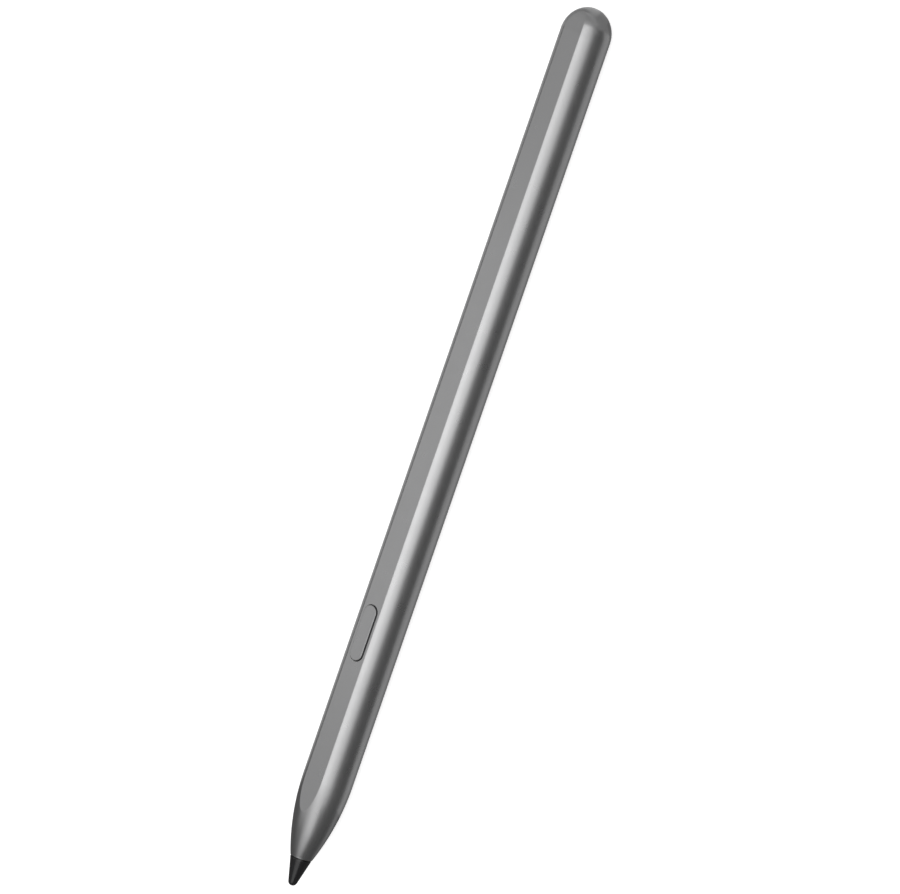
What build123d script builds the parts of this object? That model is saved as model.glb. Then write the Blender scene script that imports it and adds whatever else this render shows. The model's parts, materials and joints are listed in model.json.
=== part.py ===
from build123d import *
import os
from math import acos, atan2, cos, hypot, sin, sqrt

# A tablet stylus pen: a one-piece barrel with a flat along it, a sprung writing tip, a side button
# on the flat, and a chassis inside that carries the board, the cell, the charging coil and the magnets.
# Millimetres. Every piece is drawn in the pen's own frame: X runs along the axis from the nib's tip
# to the tail, Z points out of the flat, and the axis is at Y = Z = 0. The finished pieces are then
# set down with the round back on Z = 0 and the middle of the length on X = 0.

# Outer form
LENGTH = 161.4
BARREL_DIAMETER = 8.9
FLAT_DEPTH = 0.45
BARREL_WALL = 0.8
NOSE_END = 19.75
MOUTH_LIP = 0.23
DOME_LENGTH = 5.0
DOME_FLAT_RUN_OUT = 0.3
CAP_WALL = 2.2
CAP_SPIGOT_LENGTH = 4.0
CAP_SPIGOT_WALL = 0.8

# Clearances
GLUE_GAP = 0.05
SLIDING_GAP = 0.05
STOP_GAP = 0.05
GRIP_GAP = 0.03
MOULD_GAP = 0.01
CHASSIS_GAP = 0.1
BATTERY_GAP = 0.1
CHIP_GAP = 0.1

# Nib
NIB_CONE_LENGTH = 5.05
NIB_BASE_DIAMETER = 3.8
NIB_TIP_RADIUS = 0.82
NIB_NECK_DIAMETER = 3.3
NIB_NECK_LENGTH = 5.7
NIB_STEM_DIAMETER = 1.8
NIB_STEM_LENGTH = 5.3
NIB_CORE_DIAMETER = 0.8
NIB_CORE_COVER = 0.9
NIB_CORE_PROUD = 0.7
MOUTH_GAP = 0.1

# Pressure mechanism behind the nib
PRESS_TRAVEL = 0.15
TIP_GUIDE_SETBACK = 2.0
TIP_GUIDE_WALL = 0.45
TIP_GUIDE_END_GAP = 0.2
ELECTRODE_WALL = 0.3
COLLET_DIAMETER = 2.7
COLLET_SLIT = 0.3
COLLET_SLIT_LENGTH = 4.8
ROD_DIAMETER = 1.8
ROD_SPIGOT_DIAMETER = 1.4
ROD_SPIGOT_LENGTH = 1.8
ROD_TAIL_DIAMETER = 1.0
COLLET_RUN_OUT = 0.5
ROD_GUIDE_LENGTH = 3.8
ROD_FLANGE_THICKNESS = 0.7
ROD_FLANGE_GAP = 0.3
SPRING_LENGTH = 3.7
SPRING_WIRE = 0.3
SPRING_TURNS = 5
SPRING_END_GAP = 0.03
SENSOR_WALL = 0.5
SENSOR_STEP = 0.2
SPRING_WALL_THICKNESS = 0.8
MOVING_PLATE_GAP = 0.6
MOVING_PLATE_THICKNESS = 0.3
MOVING_PLATE_MARGIN = 0.2
ROD_TAIL_PROUD = 0.3
SENSE_GAP = 0.15
FIXED_PLATE_THICKNESS = 0.8
SENSOR_CAP_LENGTH = 3.8

# Chassis
CHASSIS_WALL = 0.6
BULKHEAD = 0.8
COVER_PLATE = 0.4
TAIL_PAD_THICKNESS = 1.85
TAIL_SEAL_WIDTH = 0.8
TAIL_SEAL_DEPTH = 0.3
COVER_JOINT_GAP = 0.2

# Main board and what is on it
BOARD_SETBACK = 1.5
BOARD_LENGTH = 53.5
BOARD_THICKNESS = 0.8
BOARD_EDGE_MARGIN = 0.1
CHIP_HEIGHT = 0.75
CONNECTOR_LENGTH = 3.2
CONNECTOR_WIDTH = 2.6
CONNECTOR_HEIGHT = 1.0
CONNECTOR_SETBACK = 1.5
FLEX_WIDTH = 1.6
FLEX_THICKNESS = 0.15
FLEX_DROP = 0.5
CAPACITOR_SIZE = (1.0, 0.5, 0.5)
CAPACITOR_PITCH = 2.2
CAPACITOR_WALL_GAP = 0.15
CAPACITORS_PER_ROW = 6
ANTENNA_LENGTH = 2.4
ANTENNA_WIDTH = 1.6
ANTENNA_SETBACK = 0.9
ANTENNA_GAP = 0.8
CHIP_SIZES = {
    "motion_sensor": (3.0, 2.5),
    "radio_chip": (4.0, 3.0),
    "crystal": (2.0, 1.6),
    "power_chip": (3.0, 3.0),
}

# Side button and its switch
BUTTON_LENGTH = 10.05
BUTTON_WIDTH = 2.7
BUTTON_PROUD = 0.3
BUTTON_SLOT_GAP = 0.19
BUTTON_TRAVEL = 0.25
BUTTON_EDGE_RADIUS = 0.08
BUTTON_FLANGE_THICKNESS = 0.5
BUTTON_FLANGE_OVERHANG = 1.0
BUTTON_FOOT_DIAMETER = 1.6
SWITCH_LENGTH = 3.4
SWITCH_WIDTH = 2.8
SWITCH_FOOT_GAP = 0.1
SWITCH_HEIGHT = 1.0
SWITCH_WELL_FLOOR = 0.1
PLUNGER_DIAMETER = 1.3
DOME_SHEET = 0.05
BRACKET_BASE_HEIGHT = 0.5
BRACKET_POST_LENGTH = 2.2
BRACKET_END_MARGIN = 0.6
BRACKET_RAIL = 0.6
SWITCH_MARGIN = 0.4

# Cell, charging coil and magnets
CELL_SETBACK = 2.1
CELL_BOARD_THICKNESS = 0.8
CELL_TERMINAL_HEIGHT = 0.3
CELL_TERMINAL_DIAMETER = 1.6
CELL_WRAP = 0.1
CELL_TAB_THICKNESS = 0.12
CELL_TAB_WIDTH = 2.0
COIL_END_MARGIN = 1.0
COIL_WIDTH = 2.7
COIL_EYE_WIDTH = 0.9
COIL_THICKNESS = 0.35
FERRITE_THICKNESS = 0.2
PAD_SINK = 0.05
MAGNET_WIDTH = 2.7
MAGNET_THICKNESS = 0.7
REAR_MAGNET_LENGTH = 6.0
MAGNET_SPACING = 1.5
MAGNET_SCREW_DISTANCE = 1.65
POCKET_GAP = 0.05

# Chassis screws
SCREW_DIAMETER = 1.2
SCREW_HEAD_DIAMETER = 2.0
SCREW_HEAD_HEIGHT = 0.4
SCREW_HOLE_GAP = 0.03
SCREW_DRIVE_WIDTH = 0.3
SCREW_DRIVE_DEPTH = 0.2
SCREW_ENGAGEMENT = 1.6
BOSS_DIAMETER = 2.6
SCREW_EDGE_DISTANCE = 1.9

# Heights above the axis, stacked down from the flat
RADIUS = BARREL_DIAMETER / 2
FLAT = RADIUS - FLAT_DEPTH
INNER_FLAT = FLAT - BARREL_WALL
CHASSIS_INSET = BARREL_WALL + CHASSIS_GAP
COVER_TOP = FLAT - CHASSIS_INSET
CHASSIS_RADIUS = RADIUS - CHASSIS_INSET
TRAY_RADIUS = CHASSIS_RADIUS - CHASSIS_WALL
MAGNET_SEAT = COVER_TOP - PAD_SINK - MAGNET_THICKNESS
COVER_CEILING = MAGNET_SEAT - COVER_PLATE
BOARD_TOP = COVER_CEILING - CHIP_GAP - CHIP_HEIGHT
BOARD_SEAT = BOARD_TOP - BOARD_THICKNESS
COIL_SEAT = COVER_TOP - PAD_SINK - COIL_THICKNESS
FERRITE_SEAT = COIL_SEAT - FERRITE_THICKNESS
REAR_CEILING = FERRITE_SEAT - COVER_PLATE
PLUNGER_TOP = BOARD_TOP + SWITCH_HEIGHT
SWITCH_FLOOR = BOARD_TOP + SWITCH_WELL_FLOOR
SWITCH_TOP = PLUNGER_TOP - BUTTON_TRAVEL - SWITCH_FOOT_GAP
PLUNGER_LOW = SWITCH_FLOOR + BUTTON_TRAVEL + STOP_GAP
FLANGE_LOW = INNER_FLAT - BUTTON_FLANGE_THICKNESS
CELL_RADIUS = (REAR_CEILING + TRAY_RADIUS - CELL_TAB_THICKNESS) / 2 - BATTERY_GAP
CELL_HEIGHT = CELL_RADIUS + BATTERY_GAP - TRAY_RADIUS
CELL_TOP = CELL_HEIGHT + CELL_RADIUS
SCREW_HEAD_SEAT = COVER_TOP - PAD_SINK - SCREW_HEAD_HEIGHT
SCREW_LOW = BOARD_SEAT - SCREW_ENGAGEMENT

# Stations along the axis, counted from the nib's tip
MOUTH = NIB_CONE_LENGTH + PRESS_TRAVEL + STOP_GAP
COLLET_FRONT = NIB_CONE_LENGTH + NIB_NECK_LENGTH
STEM_END = COLLET_FRONT + NIB_STEM_LENGTH
ROD_FRONT = STEM_END + NIB_CORE_PROUD
COLLET_END = ROD_FRONT + ROD_SPIGOT_LENGTH
TIP_GUIDE_FRONT = MOUTH + TIP_GUIDE_SETBACK
TIP_GUIDE_END = COLLET_FRONT - TIP_GUIDE_END_GAP
ROD_GUIDE_FRONT = COLLET_END + PRESS_TRAVEL + COLLET_RUN_OUT
ROD_GUIDE_END = ROD_GUIDE_FRONT + ROD_GUIDE_LENGTH
ROD_FLANGE_END = ROD_GUIDE_END + ROD_FLANGE_THICKNESS
SPRING_SEAT = ROD_FLANGE_END + SPRING_LENGTH
SENSE_CHAMBER = SPRING_SEAT + SPRING_WALL_THICKNESS
MOVING_PLATE_FRONT = SENSE_CHAMBER + MOVING_PLATE_GAP
MOVING_PLATE_END = MOVING_PLATE_FRONT + MOVING_PLATE_THICKNESS
ROD_END = MOVING_PLATE_END + ROD_TAIL_PROUD
FIXED_PLATE_FRONT = ROD_END + PRESS_TRAVEL + SENSE_GAP
FIXED_PLATE_END = FIXED_PLATE_FRONT + FIXED_PLATE_THICKNESS
TRAY_FRONT = FIXED_PLATE_END + SENSOR_CAP_LENGTH
BOARD_FRONT = TRAY_FRONT + BOARD_SETBACK
BOARD_END = BOARD_FRONT + BOARD_LENGTH
ANTENNA_FRONT = BOARD_FRONT + ANTENNA_SETBACK
ANTENNA_END = ANTENNA_FRONT + ANTENNA_LENGTH
BUTTON_FLANGE_LENGTH = BUTTON_LENGTH + 2 * BUTTON_FLANGE_OVERHANG
BRACKET_FRONT = ANTENNA_END + ANTENNA_GAP
BUTTON_CENTRE = BRACKET_FRONT + BRACKET_END_MARGIN + BUTTON_FLANGE_LENGTH / 2
BRACKET_END = BUTTON_CENTRE + BUTTON_FLANGE_LENGTH / 2 + BRACKET_END_MARGIN
DOME_START = LENGTH - DOME_LENGTH
SPIGOT_FRONT = DOME_START - CAP_SPIGOT_LENGTH
TRAY_END = SPIGOT_FRONT - TAIL_PAD_THICKNESS
FRONT_COVER_FRONT = BRACKET_END + COVER_JOINT_GAP
REAR_COVER_FRONT = BOARD_END + COVER_JOINT_GAP
CELL_BOARD_FRONT = BOARD_END + CELL_SETBACK
CELL_BOARD_END = CELL_BOARD_FRONT + CELL_BOARD_THICKNESS
CELL_FRONT = CELL_BOARD_END + CELL_TERMINAL_HEIGHT
REAR_BAY_LENGTH = 2 * (SCREW_EDGE_DISTANCE + MAGNET_SCREW_DISTANCE + REAR_MAGNET_LENGTH) + MAGNET_SPACING
CELL_END = TRAY_END - REAR_BAY_LENGTH
CELL_MIDDLE = (CELL_FRONT + CELL_END) / 2
COIL_LENGTH = CELL_END - CELL_FRONT - 2 * COIL_END_MARGIN
COIL_FRONT = CELL_MIDDLE - COIL_LENGTH / 2
BATTERY_CONNECTOR_END = BOARD_END - CONNECTOR_SETBACK
BATTERY_CONNECTOR_FRONT = BATTERY_CONNECTOR_END - CONNECTOR_LENGTH
SENSOR_CONNECTOR_FRONT = BOARD_FRONT + CONNECTOR_SETBACK
SENSOR_CONNECTOR_END = SENSOR_CONNECTOR_FRONT + CONNECTOR_LENGTH

# Screw stations: two in each cover, clear of the cell and of the connector under the board
FRONT_SCREWS = (FRONT_COVER_FRONT + SCREW_EDGE_DISTANCE, BATTERY_CONNECTOR_FRONT - SCREW_EDGE_DISTANCE)
REAR_SCREWS = (CELL_END + SCREW_EDGE_DISTANCE, TRAY_END - SCREW_EDGE_DISTANCE)
FRONT_SCREW_RUN = FRONT_SCREWS[1] - FRONT_SCREWS[0]
FRONT_MAGNET_LENGTH = (FRONT_SCREW_RUN - MAGNET_SPACING) / 2 - MAGNET_SCREW_DISTANCE

# Where the pen's own frame sits once it lies on its round back
LAID_DOWN = Location((-LENGTH / 2, 0, RADIUS))


def nose_radius(station, inset):
    """Radius of the nose at a station, inside a wall of the given thickness."""
    drop = RADIUS - NIB_NECK_DIAMETER / 2 - MOUTH_GAP - MOUTH_LIP
    run = NOSE_END - MOUTH
    arc = (run**2 + drop**2) / (2 * drop)
    return RADIUS - arc + sqrt((arc - inset) ** 2 - (NOSE_END - station) ** 2)


def spun(edges):
    """Solid made by spinning a closed outline about the pen's axis."""
    return revolve(make_face(edges), Axis.X)


def stepped(*points):
    """Solid of revolution with straight sides through (station, radius) points."""
    return spun(Polyline(*points, close=True))


def rod(front, end, diameter, height=0.0):
    """Round bar along the pen."""
    return Pos((front + end) / 2, 0, height) * Rot(0, 90, 0) * Cylinder(diameter / 2, end - front)


def post(station, diameter, low, high):
    """Round bar standing up towards the flat."""
    return Pos(station, 0, (low + high) / 2) * Cylinder(diameter / 2, high - low)


def block(front, end, width, low, high, across=0.0):
    """Box between two stations and two heights."""
    return Pos((front + end) / 2, across, (low + high) / 2) * Box(end - front, width, high - low)


def slot(station, length, width, low, high):
    """Bar with round ends, standing up towards the flat."""
    return Pos(station, 0, low) * extrude(SlotOverall(length, width), high - low)


def above(front, end, height):
    """Everything above a height, for cutting a flat."""
    return block(front, end, 2 * BARREL_DIAMETER, height, height + BARREL_DIAMETER)


def pen_form(front, end, inset):
    """The barrel's form, flat included, between two stations and shrunk by an inset."""
    edges = []
    nose_end = min(end, NOSE_END)
    straight_front = max(front, NOSE_END)
    if front < nose_end:
        middle = (front + nose_end) / 2
        stations = (front, middle, nose_end)
        edges.append(ThreePointArc(*[(s, nose_radius(s, inset)) for s in stations]))
    if straight_front < end:
        edges.append(Line((straight_front, RADIUS - inset), (end, RADIUS - inset)))
    first, last = edges[0] @ 0, edges[-1] @ 1
    edges.append(Polyline((last.X, last.Y), (last.X, 0), (first.X, 0), (first.X, first.Y)))
    return spun(edges) - above(front, end, FLAT - inset)


def pen_sleeve(front, end, inset, wall):
    """A sleeve that lines the barrel's form."""
    return pen_form(front, end, inset) - pen_form(front, end, inset + wall)


def barrel():
    """One-piece outer shell, open at the nose for the nib and at the tail for the chassis."""
    shell = pen_form(MOUTH, DOME_START, 0) - pen_form(TIP_GUIDE_END, DOME_START, BARREL_WALL)
    mouth_bore = rod(MOUTH, TIP_GUIDE_FRONT, NIB_NECK_DIAMETER + 2 * MOUTH_GAP)
    guide_seat = rod(TIP_GUIDE_FRONT, TIP_GUIDE_END, tip_guide_diameter() + 2 * GLUE_GAP)
    opening = 2 * BUTTON_SLOT_GAP
    button_slot = slot(BUTTON_CENTRE, BUTTON_LENGTH + opening, BUTTON_WIDTH + opening, 0, RADIUS)
    return shell - mouth_bore - guide_seat - button_slot


def dome_outline(length, height):
    """Half of a domed outline on the axis: a quarter ellipse and the two straight sides that close it."""
    end = DOME_START + length
    curve = Bezier((DOME_START, height), (end, height), (end, 0), weights=[1, sqrt(0.5), 1])
    return [curve, Polyline((end, 0), (DOME_START, 0), (DOME_START, height))]


def half_dome():
    """The tail's rounded end, with the flat curving down over it until it runs out near the point."""
    flat_length = DOME_LENGTH + DOME_FLAT_RUN_OUT
    flat_outline = make_face(dome_outline(flat_length, FLAT))
    under_flat = extrude(Plane.XZ * flat_outline, BARREL_DIAMETER, both=True)
    over_flat = above(DOME_START, DOME_START + flat_length, 0) - under_flat
    return spun(dome_outline(DOME_LENGTH, RADIUS)) - over_flat


def tail_cap():
    """Domed end with a keyed, hollow spigot that is bonded into the barrel."""
    fit = BARREL_WALL + GLUE_GAP
    spigot = pen_form(SPIGOT_FRONT, DOME_START, fit)
    groove = pen_sleeve(*tail_seal_stations(), fit, TAIL_SEAL_DEPTH)
    bore = pen_form(SPIGOT_FRONT, LENGTH - CAP_WALL, fit + CAP_SPIGOT_WALL)
    return half_dome() + (spigot - groove) - bore


def tail_seal_stations():
    """Front and rear of the seal's groove, in the middle of the spigot."""
    middle = (SPIGOT_FRONT + DOME_START) / 2
    return middle - TAIL_SEAL_WIDTH / 2, middle + TAIL_SEAL_WIDTH / 2


def tail_seal():
    """Soft band in the spigot's groove, squeezed against the barrel."""
    return pen_sleeve(*tail_seal_stations(), BARREL_WALL + MOULD_GAP, TAIL_SEAL_DEPTH)


def tail_pad():
    """Foam between the chassis and the tail cap, which keeps the chassis pushed forward."""
    return pen_form(TRAY_END, SPIGOT_FRONT, CHASSIS_INSET)


def nib():
    """Replaceable writing tip: a rounded cone, a neck that runs in the mouth and a stem for the collet."""
    base_radius = NIB_BASE_DIAMETER / 2
    neck_radius = NIB_NECK_DIAMETER / 2
    stem_radius = NIB_STEM_DIAMETER / 2
    reach = NIB_CONE_LENGTH - NIB_TIP_RADIUS
    turn = atan2(base_radius, reach) + acos(NIB_TIP_RADIUS / hypot(reach, base_radius))
    touch = (NIB_TIP_RADIUS * (1 + cos(turn)), NIB_TIP_RADIUS * sin(turn))
    tip = TangentArc((0, 0), touch, tangent=(0, 1))
    outline = Polyline(
        touch,
        (NIB_CONE_LENGTH, base_radius),
        (NIB_CONE_LENGTH, neck_radius),
        (COLLET_FRONT, neck_radius),
        (COLLET_FRONT, stem_radius),
        (STEM_END, stem_radius),
        (STEM_END, 0),
        (0, 0),
    )
    return spun([tip, outline]) - rod(NIB_CORE_COVER, STEM_END, NIB_CORE_DIAMETER + 2 * MOULD_GAP)


def nib_core():
    """Conductive pin moulded into the nib, which touches the force rod."""
    return rod(NIB_CORE_COVER + MOULD_GAP, ROD_FRONT, NIB_CORE_DIAMETER)


def nib_collet():
    """Slit sleeve that grips the nib's stem at its front and the force rod at its rear."""
    grip = rod(COLLET_FRONT, ROD_FRONT, NIB_STEM_DIAMETER + 2 * GRIP_GAP)
    socket = rod(ROD_FRONT, COLLET_END, ROD_SPIGOT_DIAMETER + 2 * MOULD_GAP)
    slit_end = COLLET_FRONT + COLLET_SLIT_LENGTH
    slits = block(COLLET_FRONT, slit_end, COLLET_SLIT, -COLLET_DIAMETER, COLLET_DIAMETER)
    slits += Rot(90, 0, 0) * slits
    return rod(COLLET_FRONT, COLLET_END, COLLET_DIAMETER) - grip - socket - slits


def force_rod():
    """Rod that carries the nib's force back, with a flange that the return spring pushes on."""
    spigot_radius = ROD_SPIGOT_DIAMETER / 2
    rod_radius = ROD_DIAMETER / 2
    flange_radius = sensor_step_radius() - ROD_FLANGE_GAP
    tail_radius = ROD_TAIL_DIAMETER / 2
    return stepped(
        (ROD_FRONT, 0),
        (ROD_FRONT, spigot_radius),
        (COLLET_END, spigot_radius),
        (COLLET_END, rod_radius),
        (ROD_GUIDE_END, rod_radius),
        (ROD_GUIDE_END, flange_radius),
        (ROD_FLANGE_END, flange_radius),
        (ROD_FLANGE_END, rod_radius),
        (MOVING_PLATE_FRONT, rod_radius),
        (MOVING_PLATE_FRONT, tail_radius),
        (ROD_END, tail_radius),
        (ROD_END, 0),
    )


def moving_plate():
    """Sensing disc on the rod's tail, which nears the fixed plate as the nib is pressed."""
    disc = rod(MOVING_PLATE_FRONT, MOVING_PLATE_END, 2 * (sensor_step_radius() - MOVING_PLATE_MARGIN))
    return disc - rod(MOVING_PLATE_FRONT, MOVING_PLATE_END, ROD_TAIL_DIAMETER + 2 * MOULD_GAP)


def return_spring():
    """Coil spring round the rod, between its flange and the sensor housing."""
    wire_radius = SPRING_WIRE / 2
    coil_radius = (ROD_DIAMETER / 2 + sensor_step_radius()) / 2
    front = ROD_FLANGE_END + SPRING_END_GAP + wire_radius
    end = SPRING_SEAT - SPRING_END_GAP - wire_radius
    pitch = (end - front) / SPRING_TURNS
    path = Helix(pitch, end - front, coil_radius, center=(front, 0, 0), direction=(1, 0, 0))
    wire = Plane(origin=path @ 0, z_dir=path % 0) * Circle(wire_radius)
    return sweep(wire, path=path, is_frenet=True)


def tip_guide_diameter():
    """Outside of the bush that the nib's neck slides in."""
    return NIB_NECK_DIAMETER + 2 * (SLIDING_GAP + TIP_GUIDE_WALL)


def tip_guide():
    """Bush in the nose's seat that the nib's neck slides in."""
    bush = rod(TIP_GUIDE_FRONT, TIP_GUIDE_END, tip_guide_diameter())
    return bush - rod(TIP_GUIDE_FRONT, TIP_GUIDE_END, NIB_NECK_DIAMETER + 2 * SLIDING_GAP)


def tilt_electrode():
    """Thin metal cone inside the nose, which senses how far the pen leans."""
    return pen_sleeve(TIP_GUIDE_END, ROD_GUIDE_FRONT, BARREL_WALL + GLUE_GAP, ELECTRODE_WALL)


def rod_guide():
    """Bush that the force rod slides in, and the stop that its flange rests on."""
    bush = pen_form(ROD_GUIDE_FRONT, ROD_GUIDE_END, CHASSIS_INSET)
    return bush - rod(ROD_GUIDE_FRONT, ROD_GUIDE_END, ROD_DIAMETER + 2 * SLIDING_GAP)


def sensor_bore_radius():
    """Radius of the sensor housing's rear bore."""
    return COVER_TOP - SENSOR_WALL


def sensor_step_radius():
    """Radius of the housing's chambers in front of the fixed plate."""
    return sensor_bore_radius() - SENSOR_STEP


def sensor_housing():
    """Housing for the return spring and the two sensing plates."""
    housing = pen_form(ROD_GUIDE_END, TRAY_FRONT, CHASSIS_INSET)
    spring_chamber = rod(ROD_GUIDE_END, SPRING_SEAT, 2 * sensor_step_radius())
    rod_hole = rod(SPRING_SEAT, SENSE_CHAMBER, ROD_DIAMETER + 2 * SLIDING_GAP)
    sense_chamber = rod(SENSE_CHAMBER, FIXED_PLATE_FRONT, 2 * sensor_step_radius())
    rear_bore = rod(FIXED_PLATE_FRONT, TRAY_FRONT, 2 * sensor_bore_radius())
    return housing - spring_chamber - rod_hole - sense_chamber - rear_bore


def fixed_plate():
    """Sensing plate held against the housing's step."""
    return rod(FIXED_PLATE_FRONT, FIXED_PLATE_END, 2 * (sensor_bore_radius() - MOULD_GAP))


def sensor_cap():
    """Plug behind the fixed plate, slotted for the sensor's flex."""
    plug = rod(FIXED_PLATE_END, TRAY_FRONT, 2 * (sensor_bore_radius() - MOULD_GAP))
    flex_low, flex_high = flex_heights()
    slot_low, slot_high = flex_low - POCKET_GAP, flex_high + POCKET_GAP
    return plug - block(FIXED_PLATE_END, TRAY_FRONT, FLEX_WIDTH + 2 * POCKET_GAP, slot_low, slot_high)


def flex_heights():
    """Low and high side of the two flex strips under the board."""
    middle = BOARD_SEAT - FLEX_DROP
    return middle - FLEX_THICKNESS / 2, middle + FLEX_THICKNESS / 2


def sensor_flex():
    """Flex strip from the fixed plate to the board."""
    return block(FIXED_PLATE_END, SENSOR_CONNECTOR_FRONT, FLEX_WIDTH, *flex_heights())


def battery_flex():
    """Flex strip from the board to the cell's own board."""
    return block(BATTERY_CONNECTOR_END, CELL_BOARD_FRONT, FLEX_WIDTH, *flex_heights())


def under_board_connector(front, end):
    """Flex socket on the underside of the board."""
    return block(front, end, CONNECTOR_WIDTH, BOARD_SEAT - CONNECTOR_HEIGHT, BOARD_SEAT)


def chassis_tray():
    """Metal half-shell that carries the board and the cell, with bosses for the cover screws."""
    tray = pen_form(TRAY_FRONT, TRAY_END, CHASSIS_INSET)
    tray -= rod(TRAY_FRONT, TRAY_END - BULKHEAD, 2 * TRAY_RADIUS)
    for station in (*FRONT_SCREWS, *REAR_SCREWS):
        tray += post(station, BOSS_DIAMETER, -TRAY_RADIUS, BOARD_SEAT)
    tray -= above(TRAY_FRONT, TRAY_END, BOARD_SEAT)
    for station in (*FRONT_SCREWS, *REAR_SCREWS):
        tray -= post(station, screw_hole_diameter(), SCREW_LOW, BOARD_SEAT)
    return tray


def screw_hole_diameter():
    """Hole that takes a screw's shank."""
    return SCREW_DIAMETER + 2 * SCREW_HOLE_GAP


def cover_shell(front, end, low, ceiling):
    """Upper half of the chassis over a stretch of the tray, hollow below its ceiling."""
    shell = pen_form(front, end, CHASSIS_INSET)
    hollow = rod(front, end, 2 * TRAY_RADIUS) - above(front, end, ceiling)
    lower_part = block(front, end, 2 * BARREL_DIAMETER, -BARREL_DIAMETER, low)
    return shell - hollow - lower_part


def with_screw_bosses(cover, stations, low):
    """Adds a boss to a cover round each screw, with its hole and the recess for its head."""
    for station in stations:
        cover += post(station, BOSS_DIAMETER, low, SCREW_HEAD_SEAT)
    for station in stations:
        cover -= post(station, screw_hole_diameter(), low, COVER_TOP)
        cover -= post(station, SCREW_HEAD_DIAMETER + 2 * POCKET_GAP, SCREW_HEAD_SEAT, COVER_TOP)
    return cover


def magnet_pair(screws, length, gap, low, high):
    """Two bars in line, midway between a cover's two screws and grown by a gap."""
    middle = sum(screws) / 2
    offset = (length + MAGNET_SPACING) / 2
    pair = Part()
    for station in (middle - offset, middle + offset):
        half = length / 2 + gap
        pair += block(station - half, station + half, MAGNET_WIDTH + 2 * gap, low, high)
    return pair


def front_cover():
    """Cover over the board, with pockets for the front magnets."""
    cover = cover_shell(FRONT_COVER_FRONT, BOARD_END, BOARD_TOP, COVER_CEILING)
    cover = with_screw_bosses(cover, FRONT_SCREWS, BOARD_TOP)
    return cover - magnet_pair(FRONT_SCREWS, FRONT_MAGNET_LENGTH, POCKET_GAP, MAGNET_SEAT, COVER_TOP)


def rear_cover():
    """Cover over the cell, with pockets for the charging coil and the rear magnets."""
    cover = cover_shell(REAR_COVER_FRONT, TRAY_END, BOARD_SEAT, REAR_CEILING)
    cover = with_screw_bosses(cover, REAR_SCREWS, BOARD_SEAT)
    cover -= magnet_pair(REAR_SCREWS, REAR_MAGNET_LENGTH, POCKET_GAP, MAGNET_SEAT, COVER_TOP)
    opening = 2 * POCKET_GAP
    cover -= slot(CELL_MIDDLE, COIL_LENGTH + opening, COIL_WIDTH + opening, FERRITE_SEAT, COVER_TOP)
    groove_front = CELL_BOARD_FRONT - POCKET_GAP
    drop_end = CELL_BOARD_FRONT + FLEX_THICKNESS + POCKET_GAP
    cover -= block(groove_front, CELL_MIDDLE, FLEX_WIDTH + opening, COIL_SEAT, COVER_TOP)
    return cover - block(groove_front, drop_end, FLEX_WIDTH + opening, CELL_TOP, COIL_SEAT)


def front_magnets():
    """Bar magnets that hold the front of the flat to a tablet."""
    return magnet_pair(FRONT_SCREWS, FRONT_MAGNET_LENGTH, 0, MAGNET_SEAT, MAGNET_SEAT + MAGNET_THICKNESS)


def rear_magnets():
    """Bar magnets that hold the rear of the flat to a tablet."""
    return magnet_pair(REAR_SCREWS, REAR_MAGNET_LENGTH, 0, MAGNET_SEAT, MAGNET_SEAT + MAGNET_THICKNESS)


def chassis_screws():
    """Four cross-head screws that hold the covers to the tray."""
    screws = Part()
    head_top = SCREW_HEAD_SEAT + SCREW_HEAD_HEIGHT
    drive_low = head_top - SCREW_DRIVE_DEPTH
    drive_reach = SCREW_HEAD_DIAMETER / 3
    for station in (*FRONT_SCREWS, *REAR_SCREWS):
        screw = post(station, SCREW_DIAMETER, SCREW_LOW, SCREW_HEAD_SEAT)
        screw += post(station, SCREW_HEAD_DIAMETER, SCREW_HEAD_SEAT, head_top)
        screw -= block(station - drive_reach, station + drive_reach, SCREW_DRIVE_WIDTH, drive_low, head_top)
        half_width = SCREW_DRIVE_WIDTH / 2
        screw -= block(station - half_width, station + half_width, 2 * drive_reach, drive_low, head_top)
        screws += screw
    return screws


def main_board():
    """Circuit board clamped between the tray and the front cover."""
    half_width = sqrt(CHASSIS_RADIUS**2 - BOARD_TOP**2) - BOARD_EDGE_MARGIN
    board = block(BOARD_FRONT, BOARD_END, 2 * half_width, BOARD_SEAT, BOARD_TOP)
    for station in FRONT_SCREWS:
        board -= post(station, screw_hole_diameter(), BOARD_SEAT, BOARD_TOP)
    return board


def chip(front, length, width):
    """Flat chip on top of the board."""
    return block(front, front + length, width, BOARD_TOP, BOARD_TOP + CHIP_HEIGHT)


def board_chips():
    """The chips under the front cover by name, evenly spaced between its two bosses."""
    run = FRONT_SCREW_RUN - BOSS_DIAMETER
    spacing = (run - sum(length for length, width in CHIP_SIZES.values())) / (len(CHIP_SIZES) + 1)
    front = FRONT_SCREWS[0] + BOSS_DIAMETER / 2 + spacing
    chips = {}
    for name, (length, width) in CHIP_SIZES.items():
        chips[name] = chip(front, length, width)
        front += length + spacing
    return chips


def board_capacitors():
    """Two rows of small capacitors under the board, along the tray's walls."""
    length, width, height = CAPACITOR_SIZE
    first = sum(FRONT_SCREWS) / 2 - CAPACITOR_PITCH * (CAPACITORS_PER_ROW - 1) / 2
    low, high = BOARD_SEAT - height, BOARD_SEAT
    wall = sqrt(TRAY_RADIUS**2 - max(abs(low), abs(high)) ** 2)
    offset = wall - CAPACITOR_WALL_GAP - width / 2
    row = Part()
    for side in (-offset, offset):
        for count in range(CAPACITORS_PER_ROW):
            middle = first + count * CAPACITOR_PITCH
            front, end = middle - length / 2, middle + length / 2
            row += block(front, end, width, low, high, across=side)
    return row


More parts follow.
